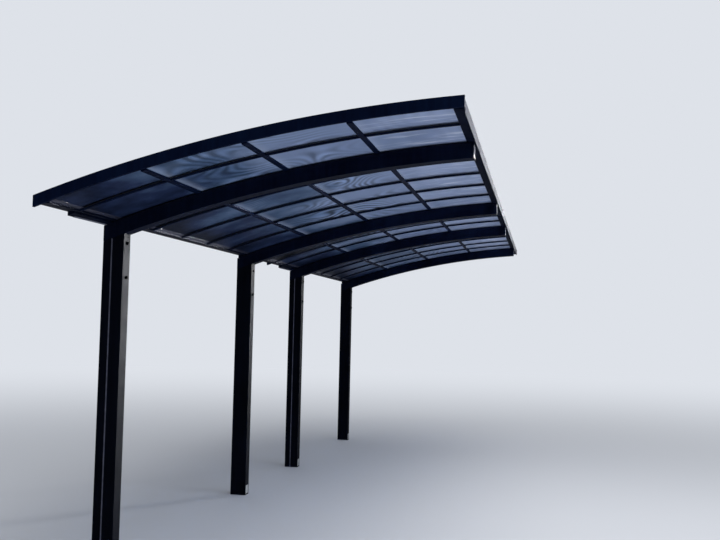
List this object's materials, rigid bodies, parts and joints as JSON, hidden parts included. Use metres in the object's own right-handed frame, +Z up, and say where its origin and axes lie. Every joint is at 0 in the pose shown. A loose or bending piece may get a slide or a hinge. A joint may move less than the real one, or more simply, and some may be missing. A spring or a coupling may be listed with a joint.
{
  "type": "carport",
  "caption": "One-sided carport with a curved roof: posts along one side carry arched beams that hold tinted roof sheets between thin bars, with a gutter behind",
  "frame": {"origin": "centre of the foot of post_1, on the ground", "axes": "+X from the posts to the free edge of the roof, +Y along the length from the front end, +Z up"},
  "size_m": [2.64, 9.9123, 3.0146],
  "materials": {
    "frame": "satin powder coat, anthracite",
    "end_cap": "satin powder coat, anthracite",
    "sheet": "gloss, smoke blue tint, see-through",
    "outlet": "plain mill finish"
  },
  "bodies": {
    "root": {"post_1": "frame", "post_2": "frame", "post_3": "frame", "post_4": "frame", "water_outlets": "outlet", "arch_beam_1": "frame", "arch_beam_2": "frame", "arch_beam_3": "frame", "arch_beam_4": "frame", "beam_end_caps": "end_cap", "purlins_1": "frame", "glazing_bars_1": "frame", "purlins_2": "frame", "glazing_bars_2": "frame", "roof_sheet_1": "sheet", "roof_sheet_2": "sheet", "roof_sheet_3": "sheet", "roof_sheet_4": "sheet", "roof_sheet_5": "sheet", "roof_sheet_6": "sheet", "roof_sheet_7": "sheet", "roof_sheet_8": "sheet", "roof_sheet_9": "sheet", "roof_sheet_10": "sheet", "roof_sheet_11": "sheet", "roof_sheet_12": "sheet", "roof_sheet_13": "sheet", "roof_sheet_14": "sheet", "roof_sheet_15": "sheet", "roof_sheet_16": "sheet", "roof_sheet_17": "sheet", "roof_sheet_18": "sheet", "end_rafter_1": "frame", "end_rafter_2": "frame", "end_rafter_3": "frame", "end_rafter_4": "frame", "gutter_1": "frame", "edge_rail_1": "frame", "gutter_brackets_1": "frame", "gutter_2": "frame", "edge_rail_2": "frame", "gutter_brackets_2": "frame"}
  },
  "joints": []
}
